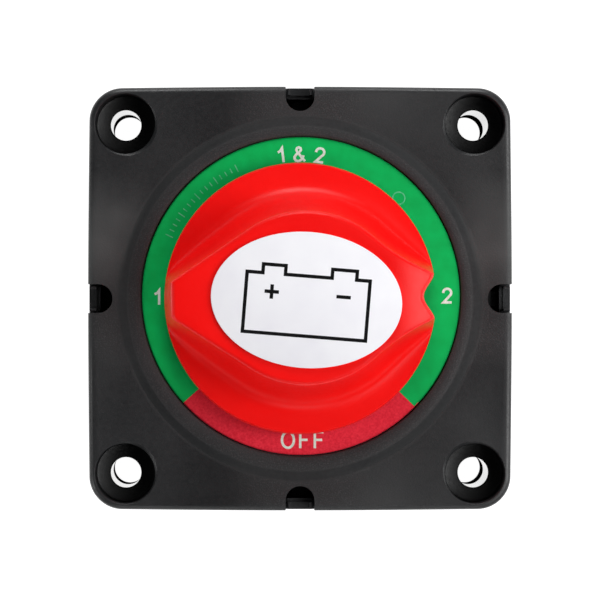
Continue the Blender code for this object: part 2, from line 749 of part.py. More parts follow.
def make_turning_parts():
    """Everything that turns with the knob hangs on an empty on the shaft's axis."""
    pivot = bpy.data.objects.new("knob_axis", None)
    PARTS.objects.link(pivot)
    pivot.location.z = KNOB_BOTTOM_Z * MM
    parts = [make_knob(), make_knob_label(), make_knob_screw()]
    parts += [make_rotor(), make_shaft_seal(), make_contact_plate()]
    parts += [make_contact_spring(number, place) for number, place in enumerate(SPRING_PLACES, 1)]
    bpy.context.view_layer.update()
    for part in parts:
        part.parent = pivot
        part.matrix_parent_inverse = pivot.matrix_world.inverted()


def make_terminals():
    for label, place in TERMINALS.items():
        make_terminal_stud(label, place)
        make_flat_washer(label, place)
        make_lock_washer(label, place)
        make_terminal_nut(label, place)


def main():
    make_case()
    make_turning_parts()
    make_detent_leaf("detent_leaf_top", 1)
    make_detent_leaf("detent_leaf_bottom", -1)
    make_contact_base()
    make_common_bar()
    make_base_gasket()
    for number, corner in enumerate(CORNERS, 1):
        make_base_screw(number, corner)
    make_terminals()


main()
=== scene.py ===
"""Battery selector switch: fine surfaces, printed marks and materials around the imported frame.

Lengths are in millimetres in the design's own frame (face up, knob turning about Z) and scaled once, by MM.
Places come from the frame's boxes; what the frame doesn't say, such as a rounding, is a named value below.
"""

import math

import bmesh
import bpy
from mathutils import Matrix, Vector


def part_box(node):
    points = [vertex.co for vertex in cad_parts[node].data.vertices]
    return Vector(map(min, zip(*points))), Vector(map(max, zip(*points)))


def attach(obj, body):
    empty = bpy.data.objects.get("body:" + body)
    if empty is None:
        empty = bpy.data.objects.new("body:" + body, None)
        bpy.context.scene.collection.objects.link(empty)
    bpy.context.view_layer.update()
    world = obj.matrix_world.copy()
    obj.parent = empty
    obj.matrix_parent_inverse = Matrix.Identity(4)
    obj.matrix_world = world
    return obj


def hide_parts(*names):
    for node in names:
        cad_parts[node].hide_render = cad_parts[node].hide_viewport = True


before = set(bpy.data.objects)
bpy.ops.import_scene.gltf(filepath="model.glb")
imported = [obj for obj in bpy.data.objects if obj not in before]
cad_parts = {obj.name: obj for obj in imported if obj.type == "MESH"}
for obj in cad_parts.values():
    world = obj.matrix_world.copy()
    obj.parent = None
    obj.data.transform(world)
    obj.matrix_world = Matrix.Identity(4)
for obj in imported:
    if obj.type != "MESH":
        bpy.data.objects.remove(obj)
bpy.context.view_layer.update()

MM = 0.001
MERGE_DISTANCE = 0.0005 * MM
CASE = "case"
KNOB = "knob_and_rotor"
TERMINAL_NAMES = ("1", "2", "common")
SIDES = ("right", "top", "left", "bottom")
CORNERS = ((1, 1), (-1, 1), (-1, -1), (1, -1))
ROUNDING_STEPS = (72.0, 54.0, 36.0, 18.0, 0.0)


def box_mm(node):
    low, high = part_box(node)
    return low / MM, high / MM


HOUSING_LOW, HOUSING_HIGH = box_mm("housing")
BACK_HIGH = box_mm("back_cover")[1]
KNOB_LOW, KNOB_HIGH = box_mm("knob")
DIAL_LOW, DIAL_HIGH = box_mm("dial_label")
LABEL_HIGH = box_mm("knob_label")[1]
COVER_LOW, COVER_HIGH = box_mm("side_cover_right")

# Case
CLEARANCE = 0.3
CASE_HALF = HOUSING_HIGH.x
CASE_CORNER_R = 5.3
SIDE_BOW = 0.25
FACE_Z = HOUSING_HIGH.z
EDGE_R = 0.9
SPLIT_EDGE = (0.3, 0.35)
FOOT_SINK = (0.45, 1.2)
EDGE_SINK = (0.15, 1.6)
BEZEL_MIDDLE_R = 27.2
BEZEL_TOP_R = 28.2
BEZEL_FOOT_R = 29.5
BEZEL_EDGE_DROP = 0.06
SHEEN_CENTRE_Y = 10.5
SHAFT_BORE_R = 8.0
DIAL_BORE_R = 9.0
DIAL_R = 25.85
DIAL_CENTRE = (0.15, 0.4)
RECESS_R = DIAL_R + 0.2
RECESS_Z = DIAL_LOW.z - CLEARANCE
RECESS_EDGE_R = 0.25
RECESS_EDGE_CUT = 0.08

# Screw holes
HOLE_HALF_SPACING = 28.5
HOLE_R = 2.5
REAR_HOLE_R = HOLE_R + 0.1
BORE_BAND_R = HOLE_R + 0.3
COUNTERBORE_R = 4.85
COUNTERBORE_Z = 44.2
COUNTERBORE_RIM_DROP = 1.55

# Side notches and covers
NOTCH_R = 2.35
NOTCH_CENTRE = 32.87
NOTCH_FLOOR_Z = 41.0
NOTCH_RIB_HALF_WIDTH = 1.2
NOTCH_RIB_Z = (49.0, 47.0)
RABBET_FLOOR = COVER_LOW.x - CLEARANCE
RABBET_HALF_WIDTH = COVER_HIGH.y + CLEARANCE
RABBET_TOP_Z = 50.0
COVER_THICKNESS = 1.8
COVER_PLATE_TOP_Z = RABBET_TOP_Z - CLEARANCE
TAB_HALF_WIDTH = 2.05
TAB_DEPTH = (0.6, 1.6)
PRONG_WIDTH = 0.45
GROOVE_PITCH = 1.8
GROOVE_WIDTH = 0.9
GROOVE_LOW_Z = 40.0
GROOVE_DEPTH = 0.35
KNOCK_OUT_R = 9.0
KNOCK_OUT_Z = 13.0
SCORE_WIDTH = 0.5
SCORE_DEPTH = 0.3

# Inside of the case
CHAMBER_HALF = 29.5
CHAMBER_R = 24.9
CHAMBER_WALL_R = 27.4
CHAMBER_FLOOR_Z = 34.4
CHAMBER_CEILING_Z = 51.0
POST_SHOULDER = 22.0
POST_CORNER = 25.2
POCKET_HALF_WIDTH = 17.0
POCKET_TOP_Z = 52.0
PILOT_R = 1.5
BASE_SCREW_SPACING = 21.5
BACK_FLOOR_Z = 2.5
BACK_FIELD = (30.5, 18.0, 20.0)
BACK_FIELD_DEPTH = 0.6
WINDOW_HALF_WIDTH = 12.0
WINDOW_LOW_Z = 5.0
WINDOW_TOP_Z = 32.0
LEAF_POST_X = (13.0, 17.0)
LEAF_POST_Y = (12.6, 16.2)
LEAF_SLOT_END_X = 15.8
LEAF_SLOT_Y = (13.85, 14.95)
LEAF_POST_BOTTOM_Z = 46.5

# Knob
KNOB_R = 22.05
KNOB_Z = KNOB_LOW.z
KNOB_TURN = 0.9
KNOB_WALL = 2.3
CROWN_Z = KNOB_HIGH.z
CROWN_FLAT_X = 14.5
CROWN_FALL_RUN = 5.5
POINTER_FALL = 1.5
TAIL_FALL = 0.2
CREST_ARC_R = 16.3
CREST_CENTRE_X = 0.8
CREST_HALF_WIDTH = 14.0
CREST_EDGE_R = 0.75
FLANK_X = (-8.2, 11.7)
TIP = (21.2, 3.8)
TIP_SLOPE = -0.45
GRIP_TAIL_X = 20.8
GRIP_INSET = 0.4
SCOOP_POWER = (1.2, 5.8)
SCOOP_WIDTH = (1.2, 7.7)
SKIRT_Z = KNOB_Z + 4.0
SKIRT_EDGE_INSET = 0.55
SKIRT_EDGE_DROP = 1.1
POINTER_HALF_ANGLE = 9.5
POINTER_DEPTH = 2.0
POINTER_POWER = 1.4
HUB_R = 7.0
HUB_LOW_Z = 57.0
HUB_TOP_DROP = 3.5
HUB_BORE_R = 4.5
HUB_SEAT_Z = 65.7
SCREW_BORE_R = 2.1
SCREW_SEAT_Z = 71.5
SCREW_SEAT_R = 4.6

# Contact springs
SPRING_WIRE_R = 0.35
SPRING_TURNS = 4.0
CONTACT_TRAVEL = 0.6

# Print
INK_THICKNESS = 0.02
TEXT_WEIGHT = 0.4
LETTER_GAP = 0.3
RED_HALF_ANGLE = 47.8
TICK_R = 23.6
TICK_WEIGHT = 0.16
TICK_START = 116.0
TICK_PITCH = 2.4
RING_MARK_R = 22.9
RING_MARK_ANGLE = 45.5
LABEL_CENTRE = (0.85, -0.32)
LABEL_SEMI_AXES = (15.34, 10.9)
LABEL_TURN = -4.6
LABEL_TOP_Z = LABEL_HIGH.z - 0.025


# ---------------------------------------------------------------- mesh tools


def mix(first, second, share):
    return first + (second - first) * share


def arc(radius, start, end, steps, centre=(0.0, 0.0)):
    angles = [math.radians(start + (end - start) * i / steps) for i in range(steps + 1)]
    return [(centre[0] + radius * math.cos(a), centre[1] + radius * math.sin(a)) for a in angles]


def circle(radius, steps, centre=(0.0, 0.0)):
    return arc(radius, 0.0, 360.0, steps, centre)[:-1]


def rectangle(x_low, x_high, y_low, y_high):
    return [(x_low, y_low), (x_high, y_low), (x_high, y_high), (x_low, y_high)]


def turned_by(points, degrees):
    c = math.cos(math.radians(degrees))
    s = math.sin(math.radians(degrees))
    return [(c * x - s * y, s * x + c * y) for x, y in points]


def on_four_sides(points):
    return [turned_by(points, 90.0 * number) for number in range(4)]


def add_object(name, data):
    item = bpy.data.objects.new(name, data)
    bpy.context.scene.collection.objects.link(item)
    return item


def face_outwards(mesh, merge=False):
    """Turns a mesh's faces outwards, after merging points that coincide if asked."""
    shape = bmesh.new()
    shape.from_mesh(mesh)
    if merge:
        bmesh.ops.remove_doubles(shape, verts=shape.verts, dist=MERGE_DISTANCE)
    bmesh.ops.recalc_face_normals(shape, faces=shape.faces)
    shape.to_mesh(mesh)
    shape.free()


def mesh_object(name, points, faces):
    mesh = bpy.data.meshes.new(name)
    mesh.from_pydata([(x * MM, y * MM, z * MM) for x, y, z in points], [], faces)
    face_outwards(mesh)
    return add_object(name, mesh)


def loft(name, rings, close_rows=True, close_columns=True, caps=False):
    """Quads between rings of equal length, each a list of (x, y, z); caps close the first and last ring."""
    rows = len(rings[0])
    points = [point for ring in rings for point in ring]
    faces = []
    for j in range(len(rings) if close_columns else len(rings) - 1):
        a = j * rows
        b = (j + 1) % len(rings) * rows
        for i in range(rows if close_rows else rows - 1):
            k = (i + 1) % rows
            faces.append((a + i, a + k, b + k, b + i))
    if caps:
        last = (len(rings) - 1) * rows
        faces += [tuple(range(rows - 1, -1, -1)), tuple(range(last, last + rows))]
    return mesh_object(name, points, faces)


def revolve(name, profile, centre, steps):
    """Solid of revolution from (radius, z) points that start and end on the axis."""
    shape = bmesh.new()
    verts = [shape.verts.new(((centre[0] + r) * MM, centre[1] * MM, z * MM)) for r, z in profile]
    edges = [shape.edges.new(pair) for pair in zip(verts, verts[1:])]
    around = {"cent": (centre[0] * MM, centre[1] * MM, 0.0), "axis": (0, 0, 1), "angle": math.tau}
    bmesh.ops.spin(shape, geom=verts + edges, steps=steps, use_merge=True, **around)
    bmesh.ops.remove_doubles(shape, verts=shape.verts, dist=MERGE_DISTANCE)
    bmesh.ops.recalc_face_normals(shape, faces=shape.faces)
    mesh = bpy.data.meshes.new(name)
    shape.to_mesh(mesh)
    shape.free()
    return add_object(name, mesh)


def slab(name, outlines, z_low, z_high):
    """Flat solid from closed outlines; an outline inside another one is a hole."""
    curve = bpy.data.curves.new(name, "CURVE")
    curve.dimensions = "2D"
    curve.fill_mode = "BOTH"
    curve.extrude = (z_high - z_low) / 2 * MM
    for outline in outlines:
        spline = curve.splines.new("POLY")
        spline.points.add(len(outline) - 1)
        for point, (x, y) in zip(spline.points, outline):
            point.co = (x * MM, y * MM, 0.0, 1.0)
        spline.use_cyclic_u = True
    drawn = add_object(name + "_outline", curve)
    drawn.location.z = (z_low + z_high) / 2 * MM
    return to_mesh(name, drawn)


def to_mesh(name, source):
    """The evaluated shape of an object as a new mesh object; the source is removed."""
    bpy.context.view_layer.update()
    mesh = bpy.data.meshes.new_from_object(source.evaluated_get(bpy.context.evaluated_depsgraph_get()))
    mesh.transform(source.matrix_world)
    face_outwards(mesh, merge=True)
    bpy.data.objects.remove(source, do_unlink=True)
    return add_object(name, mesh)


def combine(target, steps):
    """Applies Boolean steps, (operation, tool), to target in turn, and removes the tools."""
    name = target.name
    for operation, tool in steps:
        modifier = target.modifiers.new(operation, "BOOLEAN")
        modifier.operation = operation
        modifier.solver = "EXACT"
        modifier.object = tool
    target.name = name + "_rough"
    made = to_mesh(name, target)
    for _, tool in steps:
        bpy.data.objects.remove(tool, do_unlink=True)
    return made


def bevel(item, width, segments=3):
    modifier = item.modifiers.new("Edges", "BEVEL")
    modifier.width = width * MM
    modifier.segments = segments
    modifier.limit_method = "ANGLE"
    modifier.angle_limit = math.radians(50.0)


def stroke(points, width, closed=False):
    """Outline of a line of even width along points, with mitred corners."""
    count = len(points)
    left, right = [], []
    for i, (x, y) in enumerate(points):
        before = points[i - 1] if closed or i > 0 else None
        after = points[(i + 1) % count] if closed or i < count - 1 else None
        arriving = Vector((x - before[0], y - before[1])).normalized() if before else None
        leaving = Vector((after[0] - x, after[1] - y)).normalized() if after else arriving
        arriving = arriving or leaving
        across = Vector((-arriving.y, arriving.x))
        mitre = (across + Vector((-leaving.y, leaving.x))).normalized()
        reach = width / 2 / max(0.3, mitre.dot(across))
        left.append((x + mitre.x * reach, y + mitre.y * reach))
        right.append((x - mitre.x * reach, y - mitre.y * reach))
    return [left, right] if closed else [left + right[::-1]]


def join_objects(items):
    with bpy.context.temp_override(active_object=items[0], selected_editable_objects=items):
        bpy.ops.object.join()
    return items[0]


def finish_piece(piece, material, body, replaced=(), sharp=32.0):
    """Gives a piece its material, smooth shading and body, and hides the nodes that it stands for."""
    materials = material if isinstance(material, (list, tuple)) else [material]
    indices = [p.material_index for p in piece.data.polygons]
    piece.data.materials.clear()
    for item in materials:
        piece.data.materials.append(item)
    for polygon, index in zip(piece.data.polygons, indices):
        polygon.material_index = min(index, len(materials) - 1)
    piece.data.shade_smooth()
    piece.data.set_sharp_from_angle(angle=math.radians(sharp))
    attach(piece, body)
    if replaced:
        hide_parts(*replaced)
    return piece


# ---------------------------------------------------------------- materials


class Surface:
    """A Principled material with object-space noise for colour, roughness and relief."""

    def __init__(self, name, roughness, metallic=0.0, specular=0.5):
        self.material = bpy.data.materials.new(name)
        self.material.use_nodes = True
        self.nodes = self.material.node_tree.nodes
        self.links = self.material.node_tree.links
        self.shader = self.nodes["Principled BSDF"]
        self.shader.inputs["Roughness"].default_value = roughness
        self.shader.inputs["Metallic"].default_value = metallic
        self.shader.inputs["Specular IOR Level"].default_value = specular
        self.place = self.nodes.new("ShaderNodeTexCoord").outputs["Object"]

    def noise(self, scale, detail=2.0, stretch=None):
        node = self.nodes.new("ShaderNodeTexNoise")
        node.inputs["Scale"].default_value = scale
        node.inputs["Detail"].default_value = detail
        source = self.place
        if stretch:
            mapping = self.nodes.new("ShaderNodeMapping")
            mapping.inputs["Scale"].default_value = stretch
            self.links.new(source, mapping.inputs["Vector"])
            source = mapping.outputs["Vector"]
        self.links.new(source, node.inputs["Vector"])
        return node.outputs["Fac"]

    def remap(self, value, low_in, high_in, low_out, high_out):
        node = self.nodes.new("ShaderNodeMapRange")
        limits = {"From Min": low_in, "From Max": high_in, "To Min": low_out, "To Max": high_out}
        for key, number in limits.items():
            node.inputs[key].default_value = number
        self.links.new(value, node.inputs["Value"])
        return node.outputs["Result"]

    def cloud(self, scale, detail, low=0.3, high=0.7):
        """Noise stretched to run from 0 to 1."""
        return self.remap(self.noise(scale, detail), low, high, 0.0, 1.0)

    def math(self, operation, a, b=None):
        node = self.nodes.new("ShaderNodeMath")
        node.operation = operation
        for socket, value in zip(node.inputs, (a, b)):
            if isinstance(value, (int, float)):
                socket.default_value = value
            elif value is not None:
                self.links.new(value, socket)
        return node.outputs["Value"]

    def blend(self, factor, first, second):
        node = self.nodes.new("ShaderNodeMix")
        node.data_type = "RGBA"
        for key, value in (("A_Color", first), ("B_Color", second)):
            socket = next(s for s in node.inputs if s.identifier == key)
            if isinstance(value, tuple):
                socket.default_value = (*value, 1.0)
            else:
                self.links.new(value, socket)
        self.links.new(factor, next(s for s in node.inputs if s.identifier == "Factor_Float"))
        return next(s for s in node.outputs if s.identifier == "Result_Color")

    def colour(self, value):
        self.links.new(value, self.shader.inputs["Base Color"])

    def roughness(self, value):
        self.links.new(value, self.shader.inputs["Roughness"])

    def relief(self, height, strength, depth_mm):
        node = self.nodes.new("ShaderNodeBump")
        node.inputs["Strength"].default_value = strength
        node.inputs["Distance"].default_value = depth_mm * MM
        self.links.new(height, node.inputs["Height"])
        self.links.new(node.outputs["Normal"], self.shader.inputs["Normal"])

    def plan(self):
        """X, Y and distance from the knob's axis, in millimetres."""
        split = self.nodes.new("ShaderNodeSeparateXYZ")
        self.links.new(self.place, split.inputs["Vector"])
        x = self.math("DIVIDE", split.outputs["X"], MM)
        y = self.math("DIVIDE", split.outputs["Y"], MM)
        squares = self.math("ADD", self.math("POWER", x, 2.0), self.math("POWER", y, 2.0))
        return x, y, self.math("SQRT", squares)


def moulded_plastic(name, dark, light, roughness, grain, depth_mm):
    """Moulded plastic: fine spark-eroded grain, slow tone changes and an uneven gloss."""
    s = Surface(name, roughness)
    tone = s.cloud(90.0, 3.0)
    s.colour(s.blend(tone, dark, light))
    s.roughness(s.remap(s.noise(1400.0, 3.0), 0.25, 0.75, roughness - 0.06, roughness + 0.08))
    s.relief(s.noise(grain, 2.0), 0.6, depth_mm)
    return s.material


def case_plastic():
    """Black case: coarse grain on bezel and side middles, smoother corners, a painted sheen beside the bezel.
    """
    s = Surface("case_plastic", 0.5, specular=0.5)
    x, y, radius = s.plan()
    from_side = s.math("ABSOLUTE", x)
    near_corner = s.remap(s.math("MINIMUM", from_side, s.math("ABSOLUTE", y)), 6.0, 12.0, 0.0, 1.0)
    outside = s.remap(radius, BEZEL_FOOT_R - 0.6, BEZEL_FOOT_R, 0.0, 1.0)
    smooth = s.math("MULTIPLY", near_corner, outside)
    past_rim = s.remap(radius, BEZEL_TOP_R - 0.3, BEZEL_TOP_R + 0.1, 0.0, 1.0)
    before_foot = s.remap(radius, BEZEL_FOOT_R, BEZEL_FOOT_R + 0.5, 1.0, 0.0)
    cone = s.math("MULTIPLY", past_rim, before_foot)
    at_side = s.remap(from_side, 24.0, 30.0, 0.0, 1.0)
    off_middle = s.math("ABSOLUTE", s.math("SUBTRACT", y, SHEEN_CENTRE_Y))
    sheen = s.math("MULTIPLY", at_side, s.remap(off_middle, 3.0, 10.5, 1.0, 0.0))
    sheen = s.math("MULTIPLY", sheen, outside)
    # The sheen mask lightens the colour in patches, a painted sheen of the lamps; it also raises the
    # roughness there.
    painted_sheen = s.math("MULTIPLY", sheen, s.remap(s.noise(90.0, 2.0), 0.3, 0.6, 0.4, 1.0))
    body = s.blend(s.cloud(120.0, 3.0), (0.010, 0.0105, 0.0115), (0.016, 0.0165, 0.0175))
    body = s.blend(painted_sheen, body, (0.05, 0.052, 0.052))
    fleck = s.remap(s.noise(5200.0, 1.0), 0.52, 0.72, 0.0, 0.6)
    fleck = s.math("MULTIPLY", fleck, s.math("SUBTRACT", 1.0, s.math("MULTIPLY", smooth, 0.75)))
    # Flecks are left off the bezel's slope so that it shows darker, which is painted shade on the slope.
    fleck = s.math("MULTIPLY", fleck, s.math("SUBTRACT", 1.0, cone))
    s.colour(s.blend(fleck, body, (0.05, 0.05, 0.052)))
    gloss = s.remap(smooth, 0.0, 1.0, 0.54, 0.4)
    gloss = s.math("ADD", gloss, s.math("MULTIPLY", sheen, 0.12))
    gloss = s.math("ADD", gloss, s.math("MULTIPLY", cone, 0.3))
    s.roughness(s.math("ADD", gloss, s.remap(s.noise(1500.0, 3.0), 0.25, 0.75, -0.05, 0.06)))
    s.relief(s.math("MULTIPLY", s.noise(3600.0, 2.0), s.remap(smooth, 0.0, 1.0, 1.0, 0.35)), 0.55, 0.06)
    return s.material


def polished_bore():
    """Smooth wall of a through hole, with faint rings from the core pin."""
    s = Surface("polished_bore", 0.08, specular=0.8)
    s.colour(s.blend(s.cloud(200.0, 3.0), (0.03, 0.029, 0.027), (0.045, 0.043, 0.04)))
    s.roughness(s.remap(s.noise(900.0, 2.0), 0.25, 0.75, 0.03, 0.08))
    s.relief(s.noise(700.0, 1.0, (1.0, 1.0, 8.0)), 0.2, 0.01)
    return s.material


def rough_bore():
    """Matt wall of the rear half's holes, black and torn by the drill."""
    s = Surface("rough_bore", 1.0, specular=0.0)
    s.colour(s.blend(s.cloud(400.0, 3.0), (0.004, 0.004, 0.004), (0.012, 0.011, 0.01)))
    s.roughness(s.remap(s.noise(1500.0, 2.0), 0.25, 0.75, 0.9, 1.0))
    s.relief(s.noise(1200.0, 2.0, (1.0, 1.0, 6.0)), 0.6, 0.05)
    return s.material


def dial_print(name, dark, light, mottle):
    """Printed film: even colour with the mottle of the ink and a fine velvet texture."""
    s = Surface(name, 0.5, specular=0.15)
    tone = s.remap(s.noise(mottle, 4.0), 0.3, 0.7, 0.0, 1.0)
    s.colour(s.blend(tone, dark, light))
    s.roughness(s.remap(s.noise(2000.0, 2.0), 0.3, 0.7, 0.45, 0.6))
    s.relief(s.noise(4200.0, 2.0), 0.4, 0.03)
    return s.material


def knob_plastic():
    """Red plastic with a satin sheen and an almost invisible grain."""
    s = Surface("knob_plastic", 0.33, specular=0.2)
    tone = s.cloud(60.0, 2.0)
    s.colour(s.blend(tone, (0.86, 0.003, 0.003), (0.94, 0.006, 0.005)))
    s.roughness(s.remap(s.noise(1800.0, 3.0), 0.25, 0.75, 0.28, 0.4))
    s.relief(s.noise(3600.0, 2.0), 0.5, 0.04)
    return s.material


def label_vinyl():
    """White sticker: smooth film with a faint unevenness where the adhesive shows through."""
    s = Surface("label_vinyl", 0.35, specular=0.4)
    tone = s.cloud(150.0, 3.0)
    s.colour(s.blend(tone, (0.86, 0.85, 0.90), (0.91, 0.905, 0.94)))
    s.roughness(s.remap(s.noise(900.0, 2.0), 0.3, 0.7, 0.3, 0.42))
    s.relief(s.noise(350.0, 3.0), 0.25, 0.03)
    return s.material


def ink(name, dark, light):
    """Screen-printed ink with pinholes and a slightly uneven edge to its gloss."""
    s = Surface(name, 0.5, specular=0.12)
    tone = s.cloud(2600.0, 3.0, 0.35, 0.65)
    s.colour(s.blend(tone, dark, light))
    s.roughness(s.remap(s.noise(1500.0, 2.0), 0.3, 0.7, 0.42, 0.6))
    s.relief(s.noise(5000.0, 1.0), 0.3, 0.01)
    return s.material


def metal(name, dark, light, roughness):
    """Metal with fine marks in its polish and patches of duller oxide."""
    s = Surface(name, roughness, metallic=1.0)
    patches = s.cloud(260.0, 4.0, 0.35, 0.65)
    s.colour(s.blend(patches, dark, light))
    marks = s.noise(900.0, 3.0)
    s.roughness(s.remap(marks, 0.25, 0.75, roughness - 0.08, roughness + 0.12))
    s.relief(marks, 0.3, 0.02)
    return s.material


def rubber():
    """Dull black rubber with a fine, uneven skin."""
    s = Surface("seal_rubber", 0.8, specular=0.3)
    s.colour(s.blend(s.cloud(300.0, 3.0), (0.012, 0.012, 0.012), (0.03, 0.03, 0.03)))
    s.roughness(s.remap(s.noise(1800.0, 2.0), 0.3, 0.7, 0.7, 0.9))
    s.relief(s.noise(4000.0, 2.0), 0.5, 0.03)
    return s.material


# ---------------------------------------------------------------- case


def case_outline(side_points=18, corner_points=16):
    """The case's outline, counter-clockwise from +X; its sides bow outwards by SIDE_BOW."""
    middle = CASE_HALF - CASE_CORNER_R
    quarter = [(CASE_HALF, middle * i / side_points) for i in range(side_points)]
    quarter += arc(CASE_CORNER_R, 0.0, 90.0, corner_points, (middle, middle))
    quarter += [(middle * (1.0 - i / side_points), CASE_HALF) for i in range(1, side_points)]
    outline = [point for points in on_four_sides(quarter) for point in points]
    pull = SIDE_BOW / CASE_HALF**3
    return [(x * (1.0 - pull * y * y), y * (1.0 - pull * x * x)) for x, y in outline]


def inward_normals(outline):
    normals = []
    for before, after in zip(outline[-1:] + outline[:-1], outline[1:] + outline[:1]):
        x, y = after[0] - before[0], after[1] - before[1]
        length = math.hypot(x, y)
        normals.append((-y / length, x / length))
    return normals


def face_height(angle, outward):
    """The face's height: level with the bezel at the side middles and sunk towards the corners."""
    corner = (1.0 - math.cos(4.0 * angle)) / 2.0
    corner = corner * corner * (3.0 - 2.0 * corner)
    at_foot = mix(*FOOT_SINK, corner)
    at_edge = mix(*EDGE_SINK, corner)
    return FACE_Z - mix(at_foot, at_edge, outward * outward * (3.0 - 2.0 * outward))


def bezel_profile(foot):
    """(radius, z) of the dial recess, round the axis of the dial, and of the bezel down to its foot."""
    edge = FACE_Z - BEZEL_EDGE_DROP
    recess = [(RECESS_R, RECESS_Z), (RECESS_R, FACE_Z - RECESS_EDGE_R)]
    recess += [(RECESS_R + RECESS_EDGE_CUT, FACE_Z - RECESS_EDGE_CUT), (RECESS_R + RECESS_EDGE_R, FACE_Z)]
    bezel = [(BEZEL_MIDDLE_R, FACE_Z), (BEZEL_TOP_R - 0.3, FACE_Z), (BEZEL_TOP_R, edge)]
    bezel += [(mix(BEZEL_TOP_R, BEZEL_FOOT_R, t), mix(edge, foot, t)) for t in (0.25, 0.5, 0.75)]
    return recess, bezel


def housing_section(point, normal):
    """One section of the housing from the shaft bore out over the face and down the side."""
    angle = math.atan2(point[1], point[0])
    c, s = math.cos(angle), math.sin(angle)
    recess, bezel = bezel_profile(face_height(angle, 0.0))
    section = [(SHAFT_BORE_R * c, SHAFT_BORE_R * s, RECESS_Z)]
    section += [(r * c + DIAL_CENTRE[0], r * s + DIAL_CENTRE[1], z) for r, z in recess]
    section += [(r * c, r * s, z) for r, z in bezel]
    inner = (BEZEL_FOOT_R * c, BEZEL_FOOT_R * s)
    outer = (point[0] + normal[0] * EDGE_R, point[1] + normal[1] * EDGE_R)
    rows = 12
    for i in range(rows + 1):
        t = i / rows
        section.append((mix(inner[0], outer[0], t), mix(inner[1], outer[1], t), face_height(angle, t)))
    edge = face_height(angle, 1.0) - EDGE_R
    for degrees in ROUNDING_STEPS:
        inset = EDGE_R * (1.0 - math.cos(math.radians(degrees)))
        rise = EDGE_R * math.sin(math.radians(degrees))
        section.append((point[0] + normal[0] * inset, point[1] + normal[1] * inset, edge + rise))
    inset, rise = SPLIT_EDGE
    section.append((point[0], point[1], HOUSING_LOW.z + rise))
    section.append((point[0] + normal[0] * inset, point[1] + normal[1] * inset, HOUSING_LOW.z))
    section.append((SHAFT_BORE_R * c, SHAFT_BORE_R * s, HOUSING_LOW.z))
    return section


def clipped_square(half, shoulder, corner):
    """Square with its corners cut back to a point each, clear of the screw posts."""
    side = [(half, -shoulder), (half, shoulder), (corner, corner)]
    return [point for number in range(4) for point in turned_by(side, 90.0 * number)]


def side_pockets():
    """Pockets outside the contact chamber's wall, and the pilot holes of the terminal board's screws."""
    end = math.degrees(math.asin(POCKET_HALF_WIDTH / CHAMBER_WALL_R))
    outline = arc(CHAMBER_WALL_R, -end, end, 24)
    outline += [(CHAMBER_HALF, POCKET_HALF_WIDTH), (CHAMBER_HALF, -POCKET_HALF_WIDTH)]
    pilots = [circle(PILOT_R, 16, (x * BASE_SCREW_SPACING, y * BASE_SCREW_SPACING)) for x, y in CORNERS]
    return slab("pockets", on_four_sides(outline) + pilots, CHAMBER_FLOOR_Z - 0.5, POCKET_TOP_Z)


def rabbets(z_low, z_high):
    outline = rectangle(RABBET_FLOOR, CASE_HALF + 2.0, -RABBET_HALF_WIDTH, RABBET_HALF_WIDTH)
    return slab("rabbets", on_four_sides(outline), z_low, z_high)


def windows(z_low, z_high):
    outline = rectangle(CHAMBER_HALF - 1.0, RABBET_FLOOR + 1.0, -WINDOW_HALF_WIDTH, WINDOW_HALF_WIDTH)
    return slab("windows", on_four_sides(outline), z_low, z_high)


def notch_ribs():
    """A rib with a sloping top in the middle of each side notch."""
    inner, low = NOTCH_CENTRE - NOTCH_R - 0.5, NOTCH_FLOOR_Z - 1.0
    section = [(inner, low), (RABBET_FLOOR, low), (RABBET_FLOOR, NOTCH_RIB_Z[1]), (inner, NOTCH_RIB_Z[0])]
    ribs = slab("notch_ribs", [section], -NOTCH_RIB_HALF_WIDTH, NOTCH_RIB_HALF_WIDTH)
    upright = Matrix.Rotation(math.radians(90.0), 4, "X")
    shape = bmesh.new()
    for number in range(4):
        turned = ribs.data.copy()
        turned.transform(Matrix.Rotation(math.radians(90.0 * number), 4, "Z") @ upright)
        shape.from_mesh(turned)
        bpy.data.meshes.remove(turned)
    shape.to_mesh(ribs.data)
    shape.free()
    return ribs


def notches():
    """Half-round notches, deep beside the rib in their middle."""
    reach = CASE_HALF + 2.0
    outline = arc(NOTCH_R, 90.0, 270.0, 24, (NOTCH_CENTRE, 0.0)) + [(reach, -NOTCH_R), (reach, NOTCH_R)]
    cut = slab("notches", on_four_sides(outline), NOTCH_FLOOR_Z, FACE_Z + 1.0)
    return combine(cut, [("DIFFERENCE", notch_ribs())])


def screw_hole_tools():
    """Counterbores with a broken rim, a slightly dished floor and a through hole with a flared mouth."""
    low, high = HOUSING_LOW.z - 1.0, FACE_Z + 1.0
    floor, wall = COUNTERBORE_Z, COUNTERBORE_R
    rim = FACE_Z - COUNTERBORE_RIM_DROP
    profile = [(0.0, low), (HOLE_R, low), (HOLE_R, floor - 0.8), (HOLE_R, floor - 0.5)]
    profile += [(HOLE_R + 0.15, floor - 0.1), (wall - 0.5, floor), (wall - 0.12, floor + 0.15)]
    profile += [(wall, floor + 0.6), (wall, rim - 0.35), (wall + 0.1, rim - 0.1), (wall + 0.4, rim + 0.15)]
    profile += [(wall + 0.9, rim + 0.5), (wall + 0.9, high), (0.0, high)]
    places = [(x * HOLE_HALF_SPACING, y * HOLE_HALF_SPACING) for x, y in CORNERS]
    return join_objects([revolve("screw_hole", profile, place, 56) for place in places])


